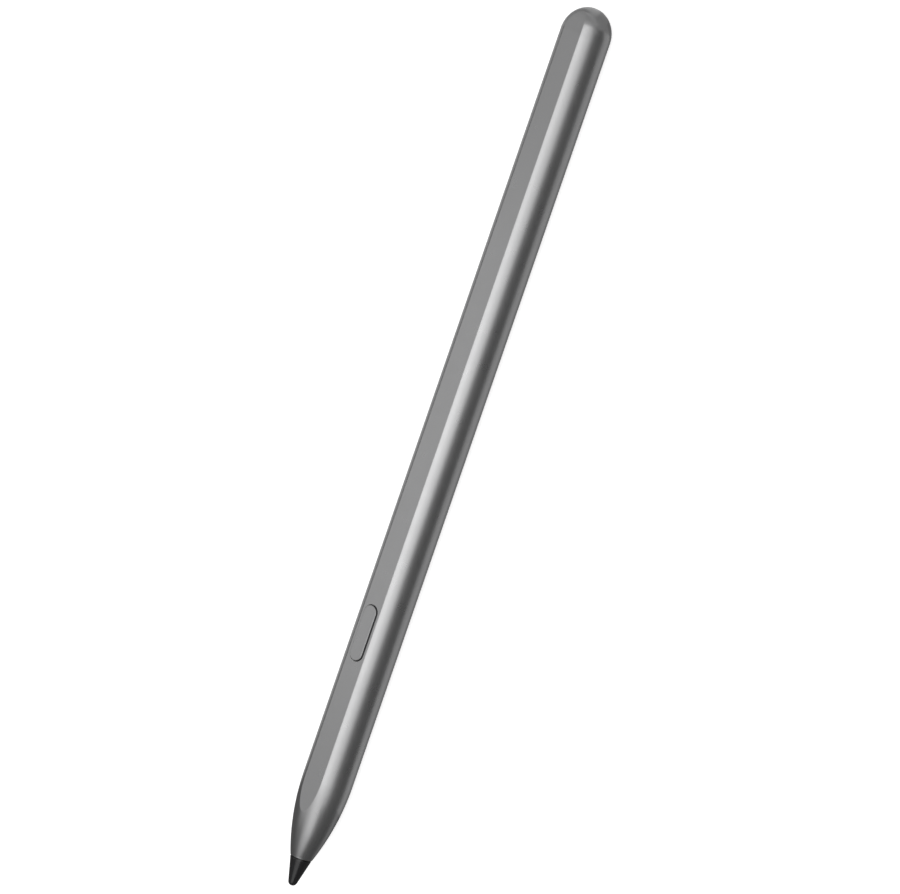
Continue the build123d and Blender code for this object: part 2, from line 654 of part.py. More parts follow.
def side_button():
    """Key in the flat, with a flange that keeps it in and a foot over the switch."""
    cap = slot(BUTTON_CENTRE, BUTTON_LENGTH, BUTTON_WIDTH, INNER_FLAT, FLAT + BUTTON_PROUD)
    cap = fillet(cap.faces().sort_by(Axis.Z)[-1].edges(), BUTTON_EDGE_RADIUS)
    flange_width = 2 * (sqrt((RADIUS - BARREL_WALL) ** 2 - INNER_FLAT**2) - CHASSIS_GAP)
    front = BUTTON_CENTRE - BUTTON_FLANGE_LENGTH / 2
    flange = block(front, front + BUTTON_FLANGE_LENGTH, flange_width, FLANGE_LOW, INNER_FLAT)
    return cap + flange + post(BUTTON_CENTRE, BUTTON_FOOT_DIAMETER, PLUNGER_TOP, FLANGE_LOW)


def button_bracket():
    """Frame round the switch, with two posts that stop the button's ends from going too deep."""
    window_width = SWITCH_WIDTH + 2 * SWITCH_MARGIN
    width = window_width + 2 * BRACKET_RAIL
    frame = block(BRACKET_FRONT, BRACKET_END, width, BOARD_TOP, BOARD_TOP + BRACKET_BASE_HEIGHT)
    post_top = FLANGE_LOW - BUTTON_TRAVEL - STOP_GAP
    window_front = BRACKET_FRONT + BRACKET_POST_LENGTH
    window_end = BRACKET_END - BRACKET_POST_LENGTH
    for front, end in ((BRACKET_FRONT, window_front), (window_end, BRACKET_END)):
        frame += block(front, end, window_width, BOARD_TOP, post_top)
    return frame - block(window_front, window_end, window_width, BOARD_TOP, post_top)


def switch_body():
    """Tact switch under the button."""
    front, end = BUTTON_CENTRE - SWITCH_LENGTH / 2, BUTTON_CENTRE + SWITCH_LENGTH / 2
    body = block(front, end, SWITCH_WIDTH, BOARD_TOP, SWITCH_TOP)
    well_diameter = PLUNGER_DIAMETER + 2 * SLIDING_GAP
    return body - post(BUTTON_CENTRE, well_diameter, SWITCH_FLOOR, SWITCH_TOP)


def switch_plunger():
    """Plunger that the button's foot pushes down."""
    return post(BUTTON_CENTRE, PLUNGER_DIAMETER, PLUNGER_LOW, PLUNGER_TOP)


def switch_dome():
    """Snap dome under the plunger, which gives the click and pushes the button back up."""
    low, high = SWITCH_FLOOR, PLUNGER_LOW
    rim = PLUNGER_DIAMETER / 2
    crown = rim / 2
    outline = Polyline(
        (rim, low),
        (rim - DOME_SHEET, low),
        (crown, high - DOME_SHEET),
        (0, high - DOME_SHEET),
        (0, high),
        (crown, high),
        (rim, low + DOME_SHEET),
        close=True,
    )
    return Pos(BUTTON_CENTRE, 0, 0) * revolve(Plane.XZ * make_face(outline), Axis.Z)


def cell_board():
    """Protection board at the cell's front end."""
    return rod(CELL_BOARD_FRONT, CELL_BOARD_END, 2 * CELL_RADIUS, CELL_HEIGHT)


def battery_cell():
    """Rechargeable pin cell with its front terminal."""
    can = rod(CELL_FRONT, CELL_END, 2 * (CELL_RADIUS - CELL_WRAP), CELL_HEIGHT)
    return can + rod(CELL_BOARD_END, CELL_FRONT, CELL_TERMINAL_DIAMETER, CELL_HEIGHT)


def cell_wrap():
    """Insulating sleeve round the cell."""
    sleeve = rod(CELL_FRONT, CELL_END, 2 * CELL_RADIUS, CELL_HEIGHT)
    return sleeve - rod(CELL_FRONT, CELL_END, 2 * (CELL_RADIUS - CELL_WRAP + MOULD_GAP), CELL_HEIGHT)


def cell_tab():
    """Strip from the cell's rear end along its top to the protection board."""
    front = (CELL_BOARD_FRONT + CELL_BOARD_END) / 2
    end = CELL_END + CELL_TAB_THICKNESS
    strip = block(front, end, CELL_TAB_WIDTH, CELL_TOP, CELL_TOP + CELL_TAB_THICKNESS)
    return strip + block(CELL_END, end, CELL_TAB_WIDTH, CELL_HEIGHT, CELL_TOP)


def charging_coil():
    """Flat racetrack winding close under the flat."""
    top = COIL_SEAT + COIL_THICKNESS
    turn_width = (COIL_WIDTH - COIL_EYE_WIDTH) / 2
    winding = slot(CELL_MIDDLE, COIL_LENGTH, COIL_WIDTH, COIL_SEAT, top)
    return winding - slot(CELL_MIDDLE, COIL_LENGTH - 2 * turn_width, COIL_EYE_WIDTH, COIL_SEAT, top)


def coil_flex():
    """Flex strip from the coil's front end along its groove and down to the cell's board."""
    drop_end = CELL_BOARD_FRONT + FLEX_THICKNESS
    strip = block(CELL_BOARD_FRONT, COIL_FRONT, FLEX_WIDTH, COIL_SEAT, COIL_SEAT + FLEX_THICKNESS)
    return strip + block(CELL_BOARD_FRONT, drop_end, FLEX_WIDTH, CELL_TOP, COIL_SEAT)


def ferrite_sheet():
    """Sheet under the coil that keeps its field out of the cell."""
    return slot(CELL_MIDDLE, COIL_LENGTH, COIL_WIDTH, FERRITE_SEAT, COIL_SEAT)


def pieces():
    """Every piece of the pen by name."""
    return {
        "barrel": barrel(),
        "tail_cap": tail_cap(),
        "tail_seal": tail_seal(),
        "tail_pad": tail_pad(),
        "nib": nib(),
        "nib_core": nib_core(),
        "nib_collet": nib_collet(),
        "force_rod": force_rod(),
        "moving_plate": moving_plate(),
        "return_spring": return_spring(),
        "tip_guide": tip_guide(),
        "tilt_electrode": tilt_electrode(),
        "rod_guide": rod_guide(),
        "sensor_housing": sensor_housing(),
        "fixed_plate": fixed_plate(),
        "sensor_cap": sensor_cap(),
        "sensor_flex": sensor_flex(),
        "sensor_connector": under_board_connector(SENSOR_CONNECTOR_FRONT, SENSOR_CONNECTOR_END),
        "chassis_tray": chassis_tray(),
        "front_cover": front_cover(),
        "rear_cover": rear_cover(),
        "chassis_screws": chassis_screws(),
        "front_magnets": front_magnets(),
        "rear_magnets": rear_magnets(),
        "main_board": main_board(),
        "board_capacitors": board_capacitors(),
        "chip_antenna": chip(ANTENNA_FRONT, ANTENNA_LENGTH, ANTENNA_WIDTH),
        **board_chips(),
        "side_button": side_button(),
        "button_bracket": button_bracket(),
        "switch_body": switch_body(),
        "switch_plunger": switch_plunger(),
        "switch_dome": switch_dome(),
        "battery_connector": under_board_connector(BATTERY_CONNECTOR_FRONT, BATTERY_CONNECTOR_END),
        "battery_flex": battery_flex(),
        "cell_board": cell_board(),
        "battery_cell": battery_cell(),
        "cell_wrap": cell_wrap(),
        "cell_tab": cell_tab(),
        "charging_coil": charging_coil(),
        "ferrite_sheet": ferrite_sheet(),
        "coil_flex": coil_flex(),
    }


os.makedirs("parts", exist_ok=True)
for name, piece in pieces().items():
    export_step(piece.moved(LAID_DOWN), f"parts/{name}.step")
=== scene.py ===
import json
from math import acos, atan2, cos, hypot, pi, radians, sin, sqrt, tan

import bmesh
import bpy
from bpy.props import FloatProperty, FloatVectorProperty, PointerProperty
from mathutils import Matrix, Vector


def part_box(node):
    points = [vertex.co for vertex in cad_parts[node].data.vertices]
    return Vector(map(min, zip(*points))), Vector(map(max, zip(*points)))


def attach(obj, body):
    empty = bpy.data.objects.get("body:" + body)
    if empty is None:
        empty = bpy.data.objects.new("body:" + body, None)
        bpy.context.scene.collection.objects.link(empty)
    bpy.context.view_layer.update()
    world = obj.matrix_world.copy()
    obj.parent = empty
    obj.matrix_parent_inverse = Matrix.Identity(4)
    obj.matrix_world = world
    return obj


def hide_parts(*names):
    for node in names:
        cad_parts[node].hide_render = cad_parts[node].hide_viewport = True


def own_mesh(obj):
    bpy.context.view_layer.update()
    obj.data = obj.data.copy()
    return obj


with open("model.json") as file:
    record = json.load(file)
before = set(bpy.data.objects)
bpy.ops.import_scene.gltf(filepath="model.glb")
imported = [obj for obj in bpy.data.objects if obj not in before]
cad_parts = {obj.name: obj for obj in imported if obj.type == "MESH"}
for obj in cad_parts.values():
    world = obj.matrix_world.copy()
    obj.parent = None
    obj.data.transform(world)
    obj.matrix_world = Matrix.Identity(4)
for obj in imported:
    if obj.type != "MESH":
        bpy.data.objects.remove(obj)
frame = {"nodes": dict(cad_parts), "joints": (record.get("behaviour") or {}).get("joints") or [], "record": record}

# A grey tablet stylus, dressed round its solid model. Metres. X runs along the pen from the nib's
# tip to the tail, Z points out of the flat, and the pen lies on its round back on Z = 0.

bl_info = {
    "name": "Stylus pen",
    "version": (1, 0, 0),
    "blender": (4, 5, 0),
    "location": "View3D > Sidebar > Stylus",
    "description": "Builds the outside of a tablet stylus over its solid model, in a plain studio",
    "category": "Add Mesh",
}

MM = 0.001
ALONG = Vector((1, 0, 0))

# Places and sizes read from the solid model
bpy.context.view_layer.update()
RECORD = frame["record"]
BARREL_LOW, BARREL_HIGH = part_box("barrel")
CAP_LOW, CAP_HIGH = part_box("tail_cap")
SEAL_LOW, SEAL_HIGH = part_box("tail_seal")
NIB_LOW, NIB_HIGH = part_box("nib")
GUIDE_LOW, GUIDE_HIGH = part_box("tip_guide")
KEY_LOW, KEY_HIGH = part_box("side_button")
KEY_MIDDLE = (KEY_LOW.x + KEY_HIGH.x) / 2
PLUNGER_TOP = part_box("switch_plunger")[1].z
COLLET_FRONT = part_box("nib_collet")[0].x
CORE_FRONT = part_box("nib_core")[0].x
GRIP = next(mount for mount in RECORD["mounts"] if mount["name"] == "barrel_grip")
NOSE_END = GRIP["pos_m"][0] - GRIP["dims"]["length_mm"] * MM / 2
RADIUS = (BARREL_HIGH.y - BARREL_LOW.y) / 2
AXIS_HEIGHT = BARREL_LOW.z + RADIUS
FLAT_HEIGHT = BARREL_HIGH.z - AXIS_HEIGHT
SLOT_COLOURS = {m["slot"]: tuple(m["base_color"]) for m in RECORD["materials"]}

# Height of a flat that lies outside the barrel, which leaves a piece round
NO_FLAT = 2 * RADIUS

# Fits between the pieces
GLUE_GAP = 0.05 * MM
MOULD_GAP = 0.01 * MM

# Fineness of the meshes
MERGE_DISTANCE = 0.0002 * MM
SHARP_ANGLE = radians(30)
FLAT_COLUMNS = 40
EDGE_COLUMNS = 6
BACK_COLUMNS = 168
NIB_COLUMNS = 128
KEY_ARC_POINTS = 32
KEY_SIDE_POINTS = 14

# Size of the picture and middle of the pen in it, in pixels, and how the pen is turned there
PICTURE_WIDTH = 900
PICTURE_HEIGHT = 894
PEN_MIDDLE_PIXEL = (442.25, 449.4)
PEN_SLOPE = radians(70.91)
TAIL_TILT = radians(8.7)
FLAT_TURN = radians(37.5)


# Settings


def length_property(name, description, default):
    """A size in metres."""
    return FloatProperty(
        name=name, description=description, default=default, min=0, precision=5, unit="LENGTH"
    )


def share_property(name, description, default):
    """A number from zero to one."""
    return FloatProperty(
        name=name, description=description, default=default, min=0, max=1, precision=3, subtype="FACTOR"
    )


def strength_property(name, description, default):
    """Brightness of a light, where one shows as white."""
    return FloatProperty(name=name, description=description, default=default, min=0, max=20)


def colour_property(name, description, default):
    """A linear colour."""
    return FloatVectorProperty(
        name=name, description=description, default=default, size=3, min=0, max=1, subtype="COLOR"
    )


class StylusSizes(bpy.types.PropertyGroup):
    """Sizes of the pieces that show."""

    edge_radius: length_property("Flat edge", "Rounding along the edges of the flat", 0.25 * MM)
    wall: length_property("Barrel wall", "Thickness of the barrel's wall", 0.8 * MM)
    mouth_radius: length_property("Mouth", "Radius of the hole that the nib's neck runs in", 1.75 * MM)
    mouth_lip: length_property("Mouth lip", "Thickness of the nose at its mouth", 0.23 * MM)
    lip_rounding: length_property("Lip rounding", "Rounding of the nose's front edge", 0.04 * MM)
    spigot_wall: length_property("Spigot wall", "Wall of the tail cap's spigot", 0.8 * MM)
    seal_depth: length_property("Seal groove", "Depth of the groove round the spigot", 0.3 * MM)
    cap_wall: length_property("Tail wall", "Thickness of the dome at its end", 2.2 * MM)
    flat_run_out: length_property("Flat run-out", "How far past the dome its flat would end", 0.3 * MM)
    nib_cone: length_property("Nib cone", "Length of the nib in front of the mouth", 5.05 * MM)
    nib_point: length_property("Nib point", "Radius of the nib's rounded point", 0.82 * MM)
    nib_neck: length_property("Nib neck", "Radius of the nib's neck", 1.65 * MM)
    nib_stem: length_property("Nib stem", "Radius of the stem that the collet grips", 0.9 * MM)
    nib_bore: length_property("Nib bore", "Radius of the hole for the conductive core", 0.41 * MM)
    nib_rim: length_property("Nib rim", "Rounding of the cone's rear edge", 0.05 * MM)
    key_length: length_property("Button length", "Length of the button's cap", 10.05 * MM)
    key_width: length_property("Button width", "Width of the button's cap", 2.7 * MM)
    key_rounding: length_property("Button edge", "Rounding of the button's upper edge", 0.08 * MM)
    key_gap: length_property("Button gap", "Gap between the button and its slot", 0.19 * MM)
    key_flange: length_property("Button flange", "Thickness of the flange that keeps it in", 0.5 * MM)
    key_foot: length_property("Button foot", "Radius of the foot over the switch", 0.8 * MM)


class StylusFinish(bpy.types.PropertyGroup):
    """Colours and surfaces of the pieces that show."""

    lacquer: colour_property("Lacquer", "Colour of the metallic grey lacquer", (0.262, 0.262, 0.264))
    lacquer_roughness: share_property("Lacquer roughness", "How far the lacquer blurs reflections", 0.284)
    brushing: share_property("Brushing", "How much more the lacquer blurs across than along the pen", 0.68)
    flake_size: length_property("Flake", "Size of the lacquer's metallic grain", 0.05 * MM)
    nib_colour: colour_property("Nib", "Colour of the nib's plastic", (0.006, 0.006, 0.0065))
    nib_roughness: share_property("Nib roughness", "How far the nib blurs reflections", 0.22)


class StylusStudio(bpy.types.PropertyGroup):
    """The camera, the floor and the light."""

    camera_distance: length_property("Camera distance", "From the camera to the pen", 2.05)
    picture_span: length_property("Picture span", "Width that the picture takes in at the pen", 154.72 * MM)
    floor_glow: share_property("Floor glow", "Share of the floor's white that shadows don't reach", 0.68)
    room_light: strength_property("Room light", "Brightness of the light from all round", 0.45)
    softbox_strength: strength_property("Softbox", "Brightness of the wide softbox", 0.76)
    strip_strength: strength_property("Strip", "Brightness of the strip light in front of it", 1.0)
    fill_strength: strength_property("Fill", "Brightness of the light over the flat's middle", 0.35)


# Geometry nodes


class Field:
    """A number in a node tree, so that a formula can be written as plain arithmetic."""

    def __init__(self, tree, socket):
        self.tree = tree
        self.socket = socket

    def math(self, operation, *values):
        """The result of a math node fed with these numbers or fields."""
        node = self.tree.nodes.new("ShaderNodeMath")
        node.operation = operation
        for entry, value in zip(node.inputs, values):
            if isinstance(value, Field):
                self.tree.links.new(value.socket, entry)
            else:
                entry.default_value = value
        return Field(self.tree, node.outputs[0])

    def __add__(self, other):
        return self.math("ADD", self, other)

    def __sub__(self, other):
        return self.math("SUBTRACT", self, other)

    def __rsub__(self, other):
        return self.math("SUBTRACT", other, self)

    def __mul__(self, other):
        return self.math("MULTIPLY", self, other)

    def __truediv__(self, other):
        return self.math("DIVIDE", self, other)

    def sqrt(self):
        return self.math("SQRT", self)

    def sin(self):
        return self.math("SINE", self)

    def cos(self):
        return self.math("COSINE", self)

    def floor(self):
        return self.math("FLOOR", self)

    def least(self, other):
        """The smaller of this and the other."""
        return self.math("MINIMUM", self, other)

    def most(self, other):
        """The larger of this and the other."""
        return self.math("MAXIMUM", self, other)

    def above(self, other):
        """One where this is greater than the other, and otherwise zero."""
        return self.math("GREATER_THAN", self, other)

    def angle_from(self, other):
        """The angle whose tangent is this over the other."""
        return self.math("ARCTAN2", self, other)

    def share(self):
        """This number kept between zero and one."""
        return self.most(0).least(1)


def add_node(tree, kind, settings=(), **links):
    """A new node with its settings made and its named inputs linked or set."""
    node = tree.nodes.new(kind)
    for name, value in dict(settings).items():
        setattr(node, name, value)
    for name, value in links.items():
        entry = node.inputs[name.replace("_", " ")]
        if isinstance(value, Field):
            tree.links.new(value.socket, entry)
        elif isinstance(value, bpy.types.NodeSocket):
            tree.links.new(value, entry)
        else:
            entry.default_value = value
    return node


def turning_sockets(tree):
    """The turning tree's named inputs and its output."""
    inputs = {
        "Profile": "NodeSocketGeometry",
        "Flat columns": "NodeSocketInt",
        "Edge columns": "NodeSocketInt",
        "Back columns": "NodeSocketInt",
        "Edge radius": "NodeSocketFloat",
        "Axis height": "NodeSocketFloat",
        "Merge distance": "NodeSocketFloat",
        "Material": "NodeSocketMaterial",
    }
    for name, kind in inputs.items():
        tree.interface.new_socket(name, in_out="INPUT", socket_type=kind)
    tree.interface.new_socket("Piece", in_out="OUTPUT", socket_type="NodeSocketGeometry")


def turning_tree():
    """Node tree that turns a profile about the pen's axis and lays a flat along it.

    Each point of the profile holds a station in X, the radius there in Y and the height of the flat
    there in Z. A row of the surface is made for each point, and the last point joins the first where
    they are the same. Columns run over the flat, round one edge, round the back and round the other edge.
    """
    tree = bpy.data.node_groups.new("turn_with_flat", "GeometryNodeTree")
    turning_sockets(tree)
    given = tree.nodes.new("NodeGroupInput").outputs
    result = tree.nodes.new("NodeGroupOutput").inputs

    flat_columns = Field(tree, given["Flat columns"])
    edge_columns = Field(tree, given["Edge columns"])
    back_columns = Field(tree, given["Back columns"])
    columns = flat_columns + edge_columns * 2 + back_columns + 1
    size = add_node(tree, "GeometryNodeAttributeDomainSize", Geometry=given["Profile"])
    rows = size.outputs["Point Count"]
    grid = add_node(tree, "GeometryNodeMeshGrid", Vertices_X=rows, Vertices_Y=columns)

    # Row and column of each point, where half a step keeps the division clear of rounding
    index = Field(tree, tree.nodes.new("GeometryNodeInputIndex").outputs[0])
    row = ((index + 0.5) / columns).floor()
    column = index - row * columns
    place = tree.nodes.new("GeometryNodeInputPosition").outputs[0]
    sample = add_node(
        tree, "GeometryNodeSampleIndex", {"data_type": "FLOAT_VECTOR"},
        Geometry=given["Profile"], Value=place, Index=row,
    )
    parts = add_node(tree, "ShaderNodeSeparateXYZ", Vector=sample.outputs["Value"]).outputs
    station, radius, flat = (Field(tree, part) for part in parts)
    largest_edge = radius * 0.4
    edge = Field(tree, given["Edge radius"]).least(largest_edge)

    # Share of the way over the flat, round the first edge, round the back and round the second edge
    over_flat = (column / flat_columns).share()
    first_edge = ((column - flat_columns) / edge_columns).share()
    back = ((column - flat_columns - edge_columns) / back_columns).share()
    second_edge = ((column - flat_columns - edge_columns - back_columns) / edge_columns).share()

    # Middle of an edge's rounding, and the angle at which the rounding runs into the round back
    height = flat.least(radius) - edge
    reach = radius - edge
    middle = (reach * reach - height * height).most(0).sqrt()
    turn = middle.angle_from(height.most(MERGE_DISTANCE))
    angle = turn * first_edge + (2 * pi - turn * 2) * back + turn * second_edge

    # The side goes from -1 to 1 over the flat, and to -1 again for the second edge
    past_middle = back.above(0.5)
    side = over_flat * 2 - 1 - past_middle * 2
    on_back = back.above(0) * (1 - back).above(0)
    on_edge = 1 - on_back
    arc = radius * on_back + edge * on_edge
    across = middle * side * on_edge + arc * angle.sin()
    up = height * on_edge + arc * angle.cos() + Field(tree, given["Axis height"])

    point = add_node(tree, "ShaderNodeCombineXYZ", X=station, Y=across, Z=up).outputs[0]
    moved = add_node(tree, "GeometryNodeSetPosition", Geometry=grid.outputs["Mesh"], Position=point)
    merged = add_node(
        tree, "GeometryNodeMergeByDistance", Geometry=moved.outputs[0], Distance=given["Merge distance"]
    )
    real = add_node(tree, "GeometryNodeRealizeInstances", Geometry=merged.outputs[0])
    painted = add_node(
        tree, "GeometryNodeSetMaterial", Geometry=real.outputs[0], Material=given["Material"]
    )
    tree.links.new(painted.outputs[0], result["Piece"])
    return tree


# Pieces


def new_object(name, data):
    """An object in the scene, at the origin."""
    thing = bpy.data.objects.new(name, data)
    bpy.context.scene.collection.objects.link(thing)
    return thing


def keep_result(piece):
    """Turns what a piece's modifiers make into its own plain mesh."""
    before = piece.data
    graph = bpy.context.evaluated_depsgraph_get()
    piece.data = bpy.data.meshes.new_from_object(piece.evaluated_get(graph))
    piece.data.name = piece.name
    piece.modifiers.clear()
    bpy.data.meshes.remove(before)


def finish_piece(piece, body, node):
    """Smooths a piece, tests that it is closed and faces outwards, and puts it in its node's place."""
    mesh = piece.data
    mesh.shade_smooth()
    mesh.set_sharp_from_angle(angle=SHARP_ANGLE)
    shape = bmesh.new()
    shape.from_mesh(mesh)
    open_edges = sum(not edge.is_manifold for edge in shape.edges)
    volume = shape.calc_volume(signed=True)
    shape.free()
    if open_edges or volume <= 0:
        raise RuntimeError(f"{piece.name} has {open_edges} open edges and a volume of {volume}")
    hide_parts(node)
    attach(piece, body)


def turned_piece(
    name, profile, material, flat_columns=FLAT_COLUMNS, edge_columns=EDGE_COLUMNS, back_columns=BACK_COLUMNS
):
    """A piece turned from its profile by the turning tree."""
    mesh = bpy.data.meshes.new(name + "_profile")
    links = [(count, count + 1) for count in range(len(profile) - 1)]
    mesh.from_pydata(profile, links, [])
    piece = new_object(name, mesh)
    modifier = piece.modifiers.new("turned", "NODES")
    tree = bpy.data.node_groups.get("turn_with_flat") or turning_tree()
    modifier.node_group = tree
    values = {
        "Flat columns": flat_columns,
        "Edge columns": edge_columns,
        "Back columns": back_columns,
        "Edge radius": bpy.context.scene.stylus_sizes.edge_radius,
        "Axis height": AXIS_HEIGHT,
        "Merge distance": MERGE_DISTANCE,
        "Material": material,
    }
    for item in tree.interface.items_tree:
        if item.name in values:
            modifier[item.identifier] = values[item.name]
    keep_result(piece)
    return piece


def lofted_piece(name, rings, middle_x, material):
    """A closed piece through outlines that have as many points each."""
    shape = bmesh.new()
    loops = []
    for outline, height in rings:
        loops.append([shape.verts.new((middle_x + x, y, height)) for x, y in outline])
    for upper, lower in zip(loops, loops[1:]):
        for count in range(len(upper)):
            after = (count + 1) % len(upper)
            shape.faces.new((upper[count], lower[count], lower[after], upper[after]))
    shape.faces.new(loops[0])
    shape.faces.new(reversed(loops[-1]))
    mesh = bpy.data.meshes.new(name)
    shape.to_mesh(mesh)
    shape.free()
    mesh.materials.append(material)
    return new_object(name, mesh)


def springy_piece(name, node, joint_name, seat, free_end):
    """A springy piece with its node's own shape, set in its node's place."""
    joint = next(joint for joint in frame["joints"] if joint["name"] == joint_name)
    axis = Vector(joint["axis"])
    height = abs((free_end - seat).dot(axis))
    piece = new_object(name, frame["nodes"][node].data.copy())
    shape = bmesh.new()
    shape.from_mesh(piece.data)
    bmesh.ops.remove_doubles(shape, verts=shape.verts, dist=MERGE_DISTANCE)
    shape.to_mesh(piece.data)
    shape.free()
    finish_piece(piece, body="barrel", node=node)
    1 - joint["range_m"][1] / height
    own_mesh(piece)


# Profiles: lists of (station, radius, height of the flat)


def spaced(first, last, count):
    """Evenly spaced numbers from the first to the last."""
    return [first + (last - first) * step / count for step in range(count + 1)]


def nose_arc(sizes):
    """Radius of the arc that the nose follows from its mouth to the straight barrel."""
    drop = RADIUS - sizes.mouth_radius - sizes.mouth_lip
    run = NOSE_END - BARREL_LOW.x
    return (run**2 + drop**2) / (2 * drop)


def nose_radius(sizes, station, inset=0.0):
    """Radius of the barrel at a station, inside a wall of the given thickness."""
    arc = nose_arc(sizes)
    behind = max(0.0, NOSE_END - station)
    return RADIUS - arc + sqrt((arc - inset) ** 2 - behind**2)


def nose_stations(sizes):
    """Stations along the nose, close together where the flat runs out in a point."""
    arc = nose_arc(sizes)
    point = NOSE_END - sqrt(arc**2 - (arc - RADIUS + FLAT_HEIGHT) ** 2)
    rows_to_point, rows_near_point, rows_behind = 30, 14, 30
    near = 0.9 * MM
    stations = spaced(BARREL_LOW.x + sizes.lip_rounding, point, rows_to_point)
    stations += [point + near * (step / rows_near_point) ** 2 for step in range(1, rows_near_point + 1)]
    return stations + spaced(point + near, NOSE_END, rows_behind)[1:]


def barrel_profile(sizes):
    """Outside from mouth to tail, then inside from tail to mouth, and back to the start."""
    straight_rows, inner_nose_rows, lip_rows = 36, 16, 4
    outside = [(x, nose_radius(sizes, x), FLAT_HEIGHT) for x in nose_stations(sizes)]
    outside += [(x, RADIUS, FLAT_HEIGHT) for x in spaced(NOSE_END, BARREL_HIGH.x, straight_rows)[1:]]
    inner_flat = FLAT_HEIGHT - sizes.wall
    inside = [(x, RADIUS - sizes.wall, inner_flat) for x in spaced(BARREL_HIGH.x, NOSE_END, straight_rows)]
    for station in spaced(NOSE_END, GUIDE_HIGH.x, inner_nose_rows)[1:]:
        inside.append((station, nose_radius(sizes, station, sizes.wall), inner_flat))
    seat = (GUIDE_HIGH.y - GUIDE_LOW.y) / 2 + GLUE_GAP
    inside += [
        (GUIDE_HIGH.x, seat, NO_FLAT),
        (GUIDE_LOW.x, seat, NO_FLAT),
        (GUIDE_LOW.x, sizes.mouth_radius, NO_FLAT),
        (BARREL_LOW.x, sizes.mouth_radius, NO_FLAT),
    ]
    front_radius = outside[0][1]
    lip = []
    for angle in spaced(0, pi / 2, lip_rows)[:-1]:
        back = sizes.lip_rounding * (1 - cos(angle))
        inset = sizes.lip_rounding * (1 - sin(angle))
        lip.append((BARREL_LOW.x + back, front_radius - inset, NO_FLAT))
    loop = lip + outside + inside
    return loop + loop[:1]


def tail_profile(sizes):
    """Bore of the spigot, its outside with the seal's groove, and the dome from its edge to its end."""
    dome_rows = 72
    fit = sizes.wall + GLUE_GAP
    floor = CAP_HIGH.x - sizes.cap_wall
    groove = fit + sizes.seal_depth
    bore = fit + sizes.spigot_wall
    joint = BARREL_HIGH.x
    steps = [
        (floor, bore),
        (CAP_LOW.x, bore),
        (CAP_LOW.x, fit),
        (SEAL_LOW.x, fit),
        (SEAL_LOW.x, groove),
        (SEAL_HIGH.x, groove),
        (SEAL_HIGH.x, fit),
        (joint, fit),
    ]
    profile = [(floor, 0, NO_FLAT)]
    profile += [(station, RADIUS - inset, FLAT_HEIGHT - inset) for station, inset in steps]
    dome = CAP_HIGH.x - joint
    for angle in spaced(0, pi / 2, dome_rows):
        reach = dome * sin(angle)
        flat = FLAT_HEIGHT * sqrt(1 - (reach / (dome + sizes.flat_run_out)) ** 2)
        profile.append((joint + reach, RADIUS * cos(angle), flat))
    profile[-1] = (CAP_HIGH.x, 0, NO_FLAT)
    return profile


def nib_profile(sizes):
    """Rounded point, cone, neck and stem, and the bore for the core."""
    point_rows, cone_rows, rim_rows = 20, 16, 5
    base = (NIB_HIGH.y - NIB_LOW.y) / 2
    reach = sizes.nib_cone - sizes.nib_point
    turn = atan2(base, reach) + acos(sizes.nib_point / hypot(reach, base))
    outline = []
    for angle in spaced(0, pi - turn, point_rows):
        outline.append((sizes.nib_point * (1 - cos(angle)), sizes.nib_point * sin(angle)))
    touch = outline[-1]
    slope = atan2(base - touch[1], sizes.nib_cone - touch[0])
    rim = sizes.nib_rim
    rim_start = (sizes.nib_cone - rim * (1 + sin(slope)), base - rim * (1 + sin(slope)) * tan(slope))
    for share in spaced(0, 1, cone_rows)[1:]:
        outline.append(tuple(a + (b - a) * share for a, b in zip(touch, rim_start)))
    centre = (rim_start[0] + rim * sin(slope), rim_start[1] - rim * cos(slope))
    for angle in spaced(pi / 2 + slope, 0, rim_rows)[1:]:
        outline.append((centre[0] + rim * cos(angle), centre[1] + rim * sin(angle)))
    stem_front, end = COLLET_FRONT - NIB_LOW.x, NIB_HIGH.x - NIB_LOW.x
    bore_end = CORE_FRONT - MOULD_GAP - NIB_LOW.x
    outline += [
        (sizes.nib_cone, sizes.nib_neck),
        (stem_front, sizes.nib_neck),
        (stem_front, sizes.nib_stem),
        (end, sizes.nib_stem),
        (end, sizes.nib_bore),
        (bore_end, sizes.nib_bore),
        (bore_end, 0),
    ]
    return [(NIB_LOW.x + station, radius, NO_FLAT) for station, radius in outline]


# The button and its slot


def stadium(half_length, half_width):
    """Points of a bar's outline with round ends, counter-clockwise."""
    half_run = half_length - half_width
    points = []
    for end in (1, -1):
        for angle in spaced(-pi / 2, pi / 2, KEY_ARC_POINTS):
            points.append((end * (half_run + half_width * cos(angle)), end * half_width * sin(angle)))
        for x in spaced(half_run, -half_run, KEY_SIDE_POINTS)[1:-1]:
            points.append((end * x, end * half_width))
    return points


def on_box(points, half_length, half_width):
    """The same points moved out from the middle on to a box's outline."""
    moved = []
    for x, y in points:
        share = 1 / max(abs(x) / half_length, abs(y) / half_width)
        moved.append((x * share, y * share))
    return moved


def on_circle(points, radius):
    """The same points moved in towards the middle on to a circle."""
    return [(x * radius / hypot(x, y), y * radius / hypot(x, y)) for x, y in points]


